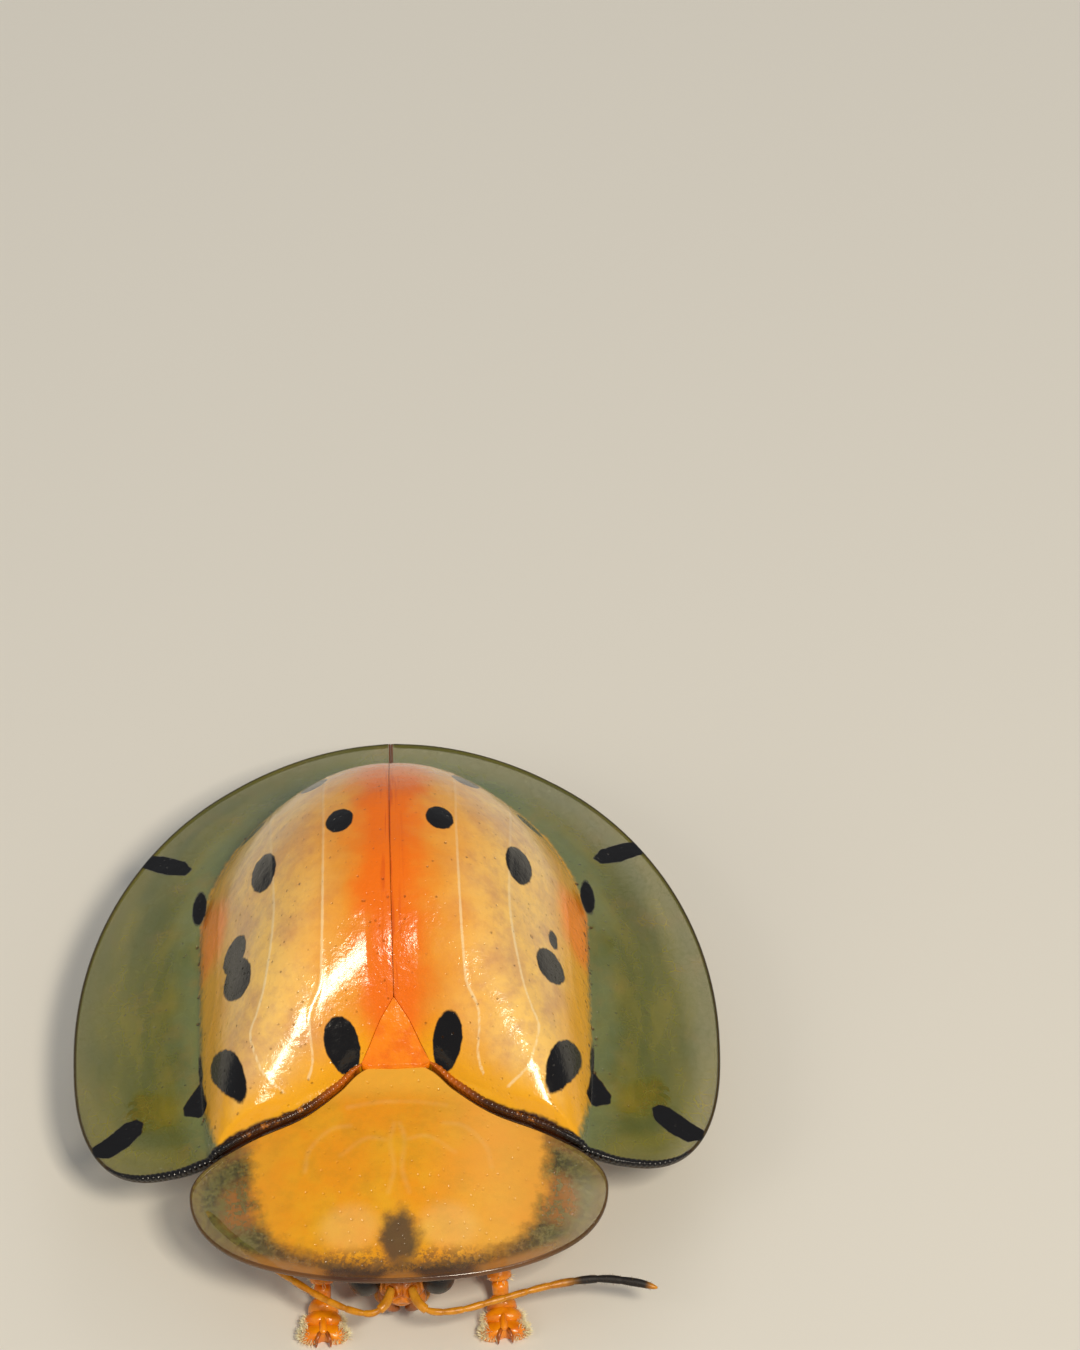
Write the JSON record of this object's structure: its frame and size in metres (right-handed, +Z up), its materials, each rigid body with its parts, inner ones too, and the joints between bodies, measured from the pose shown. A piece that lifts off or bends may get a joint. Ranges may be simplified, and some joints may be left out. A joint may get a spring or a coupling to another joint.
{
  "type": "tortoise beetle",
  "caption": "Still life-size spotted tortoise beetle standing on its feet: domed wing cases with wide flat clear margins, a broad shield over the head, short legs and slender antennae.",
  "frame": {"origin": "on the floor under the middle of the bounding box, at the soles of the feet", "axes": "+Z up, the head towards -Y, the beetle's left side at +X"},
  "size_m": [0.0126, 0.0144, 0.0057],
  "materials": {
    "wing_case": "glossy, cream to orange with black spots, see-through olive margins",
    "scutellum": "glossy orange",
    "shield": "glossy yellow-orange with grey see-through corners",
    "body": "satin orange-brown",
    "head": "satin orange",
    "eye": "polished black-brown",
    "jaw": "satin dark brown",
    "leg": "glossy orange",
    "feeler": "satin orange",
    "club": "dull dark brown"
  },
  "bodies": {
    "root": {"wing_case_left": "wing_case", "wing_case_right": "wing_case", "scutellum": "scutellum", "shield": "shield", "thorax": "body", "abdomen": "body", "prothorax": "body", "head": "head", "eye_left": "eye", "eye_right": "eye", "mandible_left": "jaw", "mandible_right": "jaw", "palp_left": "feeler", "palp_right": "feeler", "front_leg_left_coxa": "leg", "front_leg_left_femur": "leg", "front_leg_left_tibia": "leg", "front_leg_left_tarsus": "leg", "front_leg_right_coxa": "leg", "front_leg_right_femur": "leg", "front_leg_right_tibia": "leg", "front_leg_right_tarsus": "leg", "middle_leg_left_coxa": "leg", "middle_leg_left_femur": "leg", "middle_leg_left_tibia": "leg", "middle_leg_left_tarsus": "leg", "middle_leg_right_coxa": "leg", "middle_leg_right_femur": "leg", "middle_leg_right_tibia": "leg", "middle_leg_right_tarsus": "leg", "hind_leg_left_coxa": "leg", "hind_leg_left_femur": "leg", "hind_leg_left_tibia": "leg", "hind_leg_left_tarsus": "leg", "hind_leg_right_coxa": "leg", "hind_leg_right_femur": "leg", "hind_leg_right_tibia": "leg", "hind_leg_right_tarsus": "leg", "antenna_left_scape": "feeler", "antenna_left_flagellum": "feeler", "antenna_left_club": "club", "antenna_right_scape": "feeler", "antenna_right_flagellum": "feeler", "antenna_right_club": "club"}
  },
  "joints": []
}
